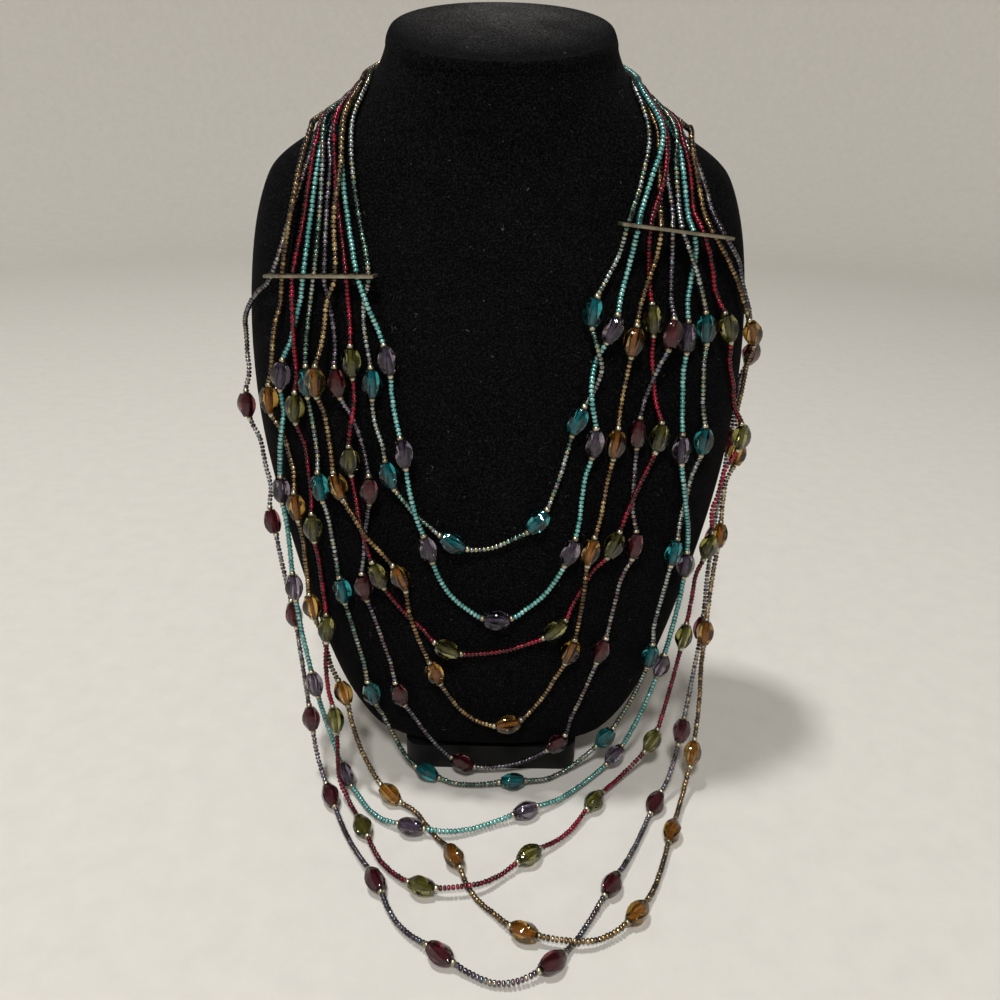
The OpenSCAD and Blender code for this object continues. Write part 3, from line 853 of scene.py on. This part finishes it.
def glass_pattern(sizes, family):
    """One glass bead along Z with its lining: a barrel with six flats, twisted end to end."""
    deselect()
    half = sizes.bead_length / 2
    # A place this far from the middle is at the bead's very end
    near_end = half * 0.99
    end_r = sizes.end_diameter / 2
    full_r = sizes.diameter / 2
    columns = 12
    bpy.ops.mesh.primitive_circle_add(
        vertices=columns, radius=end_r, fill_type="NGON", location=(0, 0, -half)
    )
    bead = named("glass")
    settle(bead)
    edit(bead)
    # Height from the middle and radius, each as a share, of the rings from the lower end up
    profile = [(-0.93, 0.1), (-0.7, 0.48), (-0.38, 0.86), (0, 1), (0.38, 0.86), (0.7, 0.48),
               (0.93, 0.1), (1, 0)]
    bpy.ops.mesh.select_all(action="SELECT")
    height, radius = -half, end_r
    for share, bulge in profile:
        next_height = share * half
        next_radius = end_r + (full_r - end_r) * bulge
        bpy.ops.mesh.extrude_region_move(
            TRANSFORM_OT_translate={"value": (0, 0, next_height - height)}
        )
        grow = next_radius / radius
        bpy.ops.transform.resize(value=(grow, grow, 1))
        height, radius = next_height, next_radius
    # The vertices between two corners are drawn in, which leaves six long flats
    step = 2 * math.pi / columns
    drawn_in = 0.9
    pick(bead, "verts", lambda v: round(math.atan2(v.co.y, v.co.x) / step) % 2
         and abs(v.co.z) < near_end)
    bpy.ops.transform.resize(value=(drawn_in, drawn_in, 1), center_override=(0, 0, 0))
    # The flat ends are opened and joined by the bore
    pick(bead, "faces", lambda f: abs(f.normal.z) > 0.95
         and abs(f.calc_center_median().z) > near_end)
    bpy.ops.mesh.inset(thickness=end_r - sizes.bore / 2)
    bpy.ops.mesh.bridge_edge_loops()
    bpy.ops.mesh.select_all(action="SELECT")
    bpy.ops.mesh.normals_make_consistent(inside=False)
    done()
    apply_modifier(
        bead, "SIMPLE_DEFORM", deform_method="TWIST", angle=sizes.twist, deform_axis="Z"
    )
    smooth(bead, math.radians(20))
    core = sizes.diameter * LINING_SHARES[family]
    # The lining keeps clear of the bore
    wall = (core - sizes.bore) / 4 - 0.1 * MM
    lining = ring_bead(
        "lining", core, sizes.bead_length * LINING_REACH, wall, around=14, across=8
    )
    bead.data.materials.append(bpy.data.materials[family + "_clear_glass"])
    lining.data.materials.append(bpy.data.materials[family + "_glass_lining"])
    return join([bead, lining], "glass")


def thread_piece(line, thickness):
    """Thread through all the beads of one string."""
    between_points = 2 * MM
    data = bpy.data.curves.new("thread", "CURVE")
    data.dimensions = "3D"
    data.bevel_depth = thickness / 2
    data.bevel_resolution = 1
    data.use_fill_caps = True
    spline = data.splines.new("POLY")
    count = max(2, int(line.total / between_points))
    spline.points.add(count)
    for i in range(count + 1):
        point, _ = line.spot(line.total * i / count)
        spline.points[i].co = (*point, 1)
    thread = bpy.data.objects.new("thread", data)
    bpy.context.scene.collection.objects.link(thread)
    select_only([thread])
    bpy.ops.object.convert(target="MESH")
    thread = bpy.context.object
    thread.data.materials.append(bpy.data.materials["waxed_nylon_thread"])
    return thread


class NECKLACE_OT_strings(bpy.types.Operator):
    """Ten strings of seed beads on their threads"""

    bl_idname = "necklace.strings"
    bl_label = "Strings of seed beads"

    def execute(self, context):
        sizes = context.scene.necklace_seeds
        materials = seed_materials()
        thread_material()
        for number in range(1, STRAND_COUNT + 1):
            chance = random.Random(number)
            family = SEED_FAMILIES[(number - 1) % len(SEED_FAMILIES)]
            line = string_line(number)
            pattern = seed_pattern(sizes)
            pattern.data.materials.append(materials[family])
            beads = []
            tone = chance.random()
            for start, end in bead_spans(line)[0]:
                count = max(1, round((end - start) / sizes.pitch))
                pitch = (end - start) / count
                for i in range(count):
                    middle = start + (i + 0.5) * pitch
                    point, heading = line.spot(middle)
                    point = point + Vector([chance.uniform(-1, 1) for _ in range(3)]) * sizes.play
                    wide = SEED_WIDTHS[family] * (1 + chance.uniform(-1, 1) * sizes.spread)
                    long = pitch / sizes.pitch * (1 - abs(chance.gauss(0, sizes.spread)))
                    tone = min(1, max(0, tone + chance.uniform(-TONE_STEP, TONE_STEP)))
                    matrix = facing(
                        point, heading, chance.uniform(0, math.tau),
                        chance.gauss(0, 0.5) * sizes.tilt, chance.uniform(0, math.tau),
                        (wide, wide, long),
                    )
                    beads.append(copy_at(pattern, matrix, tone))
            beads.append(thread_piece(line, sizes.thread))
            piece = join(beads, f"seed_string_{number:02d}")
            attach(piece, BODY)
            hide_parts(line.name)
            discard(pattern)
        return {"FINISHED"}


class NECKLACE_OT_rounds(bpy.types.Operator):
    """Round brass beads at both ends of every glass bead"""

    bl_idname = "necklace.rounds"
    bl_label = "Round brass beads"

    def execute(self, context):
        sizes = context.scene.necklace_seeds
        # Plated brass, pale like champagne, polished by tumbling
        metal = brass_material(
            "champagne_plated_brass", "#dcd4ba", "#857b62", roughness=0.24, tarnish_size=4
        )
        spread = 0.04
        pattern = round_pattern(sizes)
        pattern.data.materials.append(metal)
        chance = random.Random(77)
        for number in range(1, STRAND_COUNT + 1):
            line = string_line(number)
            beads = []
            for at in bead_spans(line)[1]:
                point, heading = line.spot(at)
                wide = 1 + chance.uniform(-spread, spread)
                beads.append(copy_at(pattern, facing(
                    point, heading, chance.uniform(0, math.tau), size=(wide, wide, 1)
                )))
            piece = join(beads, f"round_beads_{number:02d}")
            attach(piece, BODY)
        discard(pattern)
        return {"FINISHED"}


class NECKLACE_OT_glass(bpy.types.Operator):
    """Large glass beads with their coloured linings"""

    bl_idname = "necklace.glass"
    bl_label = "Glass beads"

    def execute(self, context):
        sizes = context.scene.necklace_glass
        colours = context.scene.necklace_colours
        for family in GLASS_FAMILIES:
            shade = list(getattr(colours, family))
            clear_glass(family + "_clear_glass", shade)
            glass_lining(family + "_glass_lining", shade)
        chance = random.Random(5)
        for number in range(1, STRAND_COUNT + 1):
            family = GLASS_FAMILIES[(number - 1) % len(GLASS_FAMILIES)]
            line = string_line(number)
            pattern = glass_pattern(sizes, family)
            beads = []
            for start, end in line.glass:
                point, _ = line.spot((start + end) / 2)
                heading = (line.spot(end)[0] - line.spot(start)[0]).normalized()
                beads.append(copy_at(pattern, facing(point, heading, chance.uniform(0, math.tau))))
            piece = join(beads, f"glass_string_{number:02d}")
            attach(piece, BODY)
            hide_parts(f"glass_beads_{number:02d}")
            discard(pattern)
        return {"FINISHED"}


class NECKLACE_OT_bars(bpy.types.Operator):
    """Two drilled spacer bars"""

    bl_idname = "necklace.bars"
    bl_label = "Spacer bars"

    def execute(self, context):
        sizes = context.scene.necklace_bars
        # Antique brass strip: cut, drilled and left to dull, darker in its patches
        metal = brass_material(
            "antique_brass_strip", "#aaa28c", "#6f685a", roughness=0.36, tarnish_size=6
        )
        for name in BARS:
            deselect()
            bpy.ops.mesh.primitive_cube_add(
                size=1, scale=(sizes.bar_length, sizes.depth, sizes.height)
            )
            bar = named(name + "_strip")
            settle(bar)
            drills = []
            for k in range(STRAND_COUNT):
                deselect()
                bpy.ops.mesh.primitive_cylinder_add(
                    vertices=16, radius=sizes.hole / 2, depth=sizes.height * 3,
                    location=(sizes.hole_pitch * (k - (STRAND_COUNT - 1) / 2), 0, 0),
                )
                drill = named("drill")
                settle(drill)
                drills.append(drill)
            drill = join(drills, "drill")
            apply_modifier(bar, "BOOLEAN", operation="DIFFERENCE", object=drill, solver="EXACT")
            discard(drill)
            apply_modifier(
                bar, "BEVEL", width=0.14 * MM, segments=2, limit_method="ANGLE",
                angle_limit=math.radians(40),
            )
            smooth(bar, math.radians(35))
            bar.data.transform(bar_frame(name))
            bar.data.materials.append(metal)
            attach(bar, BODY)
            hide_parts(name)
        return {"FINISHED"}


class NECKLACE_OT_clasp(bpy.types.Operator):
    """Finish of the plain clasp behind the neck"""

    bl_idname = "necklace.clasp"
    bl_label = "Clasp"

    def execute(self, context):
        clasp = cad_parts["clasp"]
        # Nickel-plated brass, brushed and lightly rubbed to a soft pale sheen
        metal = brass_material(
            "nickel_plated_clasp", "#c9c7c2", "#8f8d89", roughness=0.28, tarnish_size=5
        )
        clasp.data.materials.clear()
        clasp.data.materials.append(metal)
        return {"FINISHED"}


class NECKLACE_OT_bust(bpy.types.Operator):
    """Velvet-covered neck bust with its flared rim"""

    bl_idname = "necklace.bust"
    bl_label = "Velvet bust"

    def execute(self, context):
        sizes = context.scene.necklace_bust
        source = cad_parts["neck_form"]
        bust = bpy.data.objects.new("velvet_bust", source.data.copy())
        context.scene.collection.objects.link(bust)
        bust.data.materials.clear()
        edit(bust)
        bpy.ops.mesh.select_all(action="SELECT")
        bpy.ops.mesh.remove_doubles(threshold=SAME_POINT)
        # The flat bottom and the flat top are made one face each
        for way in (-1, 1):
            pick(bust, "faces", lambda f: f.normal.z * way > 0.9)
            bpy.ops.mesh.dissolve_faces()
        pick(bust, "faces", lambda f: len(f.verts) == 3)
        bpy.ops.mesh.tris_convert_to_quads(
            face_threshold=math.radians(75), shape_threshold=math.radians(170)
        )
        # The rim: a band under the flat top, cut parallel to it and pushed out
        shell = bmesh.from_edit_mesh(bust.data)
        top = max(shell.faces, key=lambda f: f.normal.z * f.calc_area())
        normal = top.normal.copy()
        level = top.calc_center_median()
        bpy.ops.mesh.select_all(action="SELECT")
        bpy.ops.mesh.bisect(plane_co=level - normal * sizes.lip_height, plane_no=normal)
        pick(bust, "faces", lambda f: abs(f.normal.dot(normal)) < 0.6 and
             (f.calc_center_median() - level).dot(normal) > -sizes.lip_height)
        bpy.ops.mesh.extrude_region_shrink_fatten(
            TRANSFORM_OT_shrink_fatten={"value": sizes.lip, "use_even_offset": True}
        )
        # The padding: rings set into the top, each a width in millimetres and then a rise as a
        # share of the dome. Of the faces that point that way, the top alone is over 10 cm2
        pick(bust, "faces", lambda f: f.normal.dot(normal) > 0.98 and f.calc_area() > 1e-3)
        for width, rise in ((6, 0), (12, 1), (14, 0.4)):
            bpy.ops.mesh.inset(thickness=width * MM)
            bpy.ops.transform.translate(value=normal * sizes.dome * rise)
        done()
        apply_modifier(
            bust, "SUBSURF", levels=sizes.levels, render_levels=sizes.levels
        )
        smooth(bust, math.radians(60))
        bust.data.materials.append(velvet_material(context.scene.necklace_colours.velvet))
        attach(bust, BODY)
        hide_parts("neck_form")
        return {"FINISHED"}


class NECKLACE_OT_foot(bpy.types.Operator):
    """Finish of the foot that the bust stands on"""

    bl_idname = "necklace.foot"
    bl_label = "Foot"

    def execute(self, context):
        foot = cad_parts["foot"]
        foot.data.materials.clear()
        foot.data.materials.append(board_material())
        return {"FINISHED"}


def area_light(name, place, target, size, power):
    """A square soft light that looks at a target, its places and size in metres."""
    bpy.ops.object.light_add(type="AREA", location=place)
    lamp = named(name)
    lamp.data.size = size
    lamp.data.energy = power
    lamp.rotation_mode = "QUATERNION"
    lamp.rotation_quaternion = (Vector(target) - Vector(place)).to_track_quat("-Z", "Y")
    return lamp


class NECKLACE_OT_stage(bpy.types.Operator):
    """Camera, soft lights and a plain pale floor"""

    bl_idname = "necklace.stage"
    bl_label = "Stage"

    def execute(self, context):
        scene = context.scene
        # The camera looks down at the necklace from where the photograph was taken
        bpy.ops.object.camera_add(location=(2.5 * MM, -374 * MM, 306 * MM))
        camera = named("camera")
        camera.data.lens = 30.6
        camera.data.sensor_width = 36
        camera.rotation_euler = (
            Matrix.Rotation(math.radians(65), 3, "X") @ Matrix.Rotation(math.radians(1), 3, "Z")
        ).to_euler()
        camera.data.clip_start = 0.01
        scene.camera = camera

        # In metres: the flat part, each step of the rising rim and the wall above it
        radius, reach, wall = 1.6, 0.1, 0.8
        steps = 9
        bpy.ops.mesh.primitive_circle_add(vertices=96, radius=radius, fill_type="NGON")
        floor = named("pale_floor")
        edit(floor)
        pick(floor, "edges", lambda e: e.is_boundary)
        # The floor's rim rises in an even curve, so that no horizon shows from any side
        for step in range(steps):
            angle = math.radians((step + 0.5) * 90 / steps)
            bpy.ops.mesh.extrude_edges_move(
                TRANSFORM_OT_translate={"value": (0, 0, reach * math.sin(angle))}
            )
            rim = max(v.co.xy.length for v in bmesh.from_edit_mesh(floor.data).verts if v.select)
            grow = (rim + reach * math.cos(angle)) / rim
            bpy.ops.transform.resize(value=(grow, grow, 1))
        bpy.ops.mesh.extrude_edges_move(TRANSFORM_OT_translate={"value": (0, 0, wall)})
        done()
        smooth(floor, math.radians(60))
        floor.data.materials.append(table_material(scene.necklace_colours.table))

        area_light("ceiling_light", (-0.5, 0.1, 2.4), (0, -0.1, 0.05), size=0.2, power=30)
        area_light("front_light", (-0.15, -1.3, 2.0), (0, 0, 0.1), size=0.26, power=25)
        world = bpy.data.worlds.new("pale_room")
        world.use_nodes = True
        world.node_tree.nodes.clear()
        sky = add_node(
            world.node_tree, "Background", {"Color": linear("#f2f0ec"), "Strength": 0.12}
        )
        add_node(world.node_tree, "OutputWorld", links={"Surface": sky.outputs["Background"]})
        scene.world = world
        scene.view_settings.view_transform = "Standard"
        return {"FINISHED"}


class NECKLACE_PT_panel(bpy.types.Panel):
    """Sizes and colours of the necklace, and what makes each piece"""

    bl_idname = "NECKLACE_PT_panel"
    bl_label = "Ten-strand necklace"
    bl_space_type = "VIEW_3D"
    bl_region_type = "UI"
    bl_category = "Necklace"

    def draw(self, context):
        layout = self.layout
        for group in PROPERTY_NAMES:
            box = layout.box()
            settings = getattr(context.scene, group)
            for name in settings.__annotations__:
                box.prop(settings, name)
        for operator in OPERATORS:
            layout.operator(operator.bl_idname)


PROPERTY_NAMES = {
    "necklace_seeds": SeedSizes,
    "necklace_glass": GlassSizes,
    "necklace_bars": BarSizes,
    "necklace_bust": BustSizes,
    "necklace_colours": FinishColours,
}
OPERATORS = (
    NECKLACE_OT_stage,
    NECKLACE_OT_bust,
    NECKLACE_OT_foot,
    NECKLACE_OT_clasp,
    NECKLACE_OT_bars,
    NECKLACE_OT_strings,
    NECKLACE_OT_rounds,
    NECKLACE_OT_glass,
)


def register():
    """Makes the sizes, colours, operators and panel known to Blender."""
    for group in PROPERTY_NAMES.values():
        bpy.utils.register_class(group)
    for name, group in PROPERTY_NAMES.items():
        setattr(bpy.types.Scene, name, PointerProperty(type=group))
    for operator in OPERATORS:
        bpy.utils.register_class(operator)
    bpy.utils.register_class(NECKLACE_PT_panel)


def unregister():
    """Takes them out again, the last one first."""
    bpy.utils.unregister_class(NECKLACE_PT_panel)
    for operator in reversed(OPERATORS):
        bpy.utils.unregister_class(operator)
    for name, group in PROPERTY_NAMES.items():
        delattr(bpy.types.Scene, name)
        bpy.utils.unregister_class(group)


def main():
    """Builds the stage and every piece in order."""
    register()
    for operator in OPERATORS:
        family, _, action = operator.bl_idname.partition(".")
        getattr(getattr(bpy.ops, family), action)()


if __name__ == "__main__":
    main()
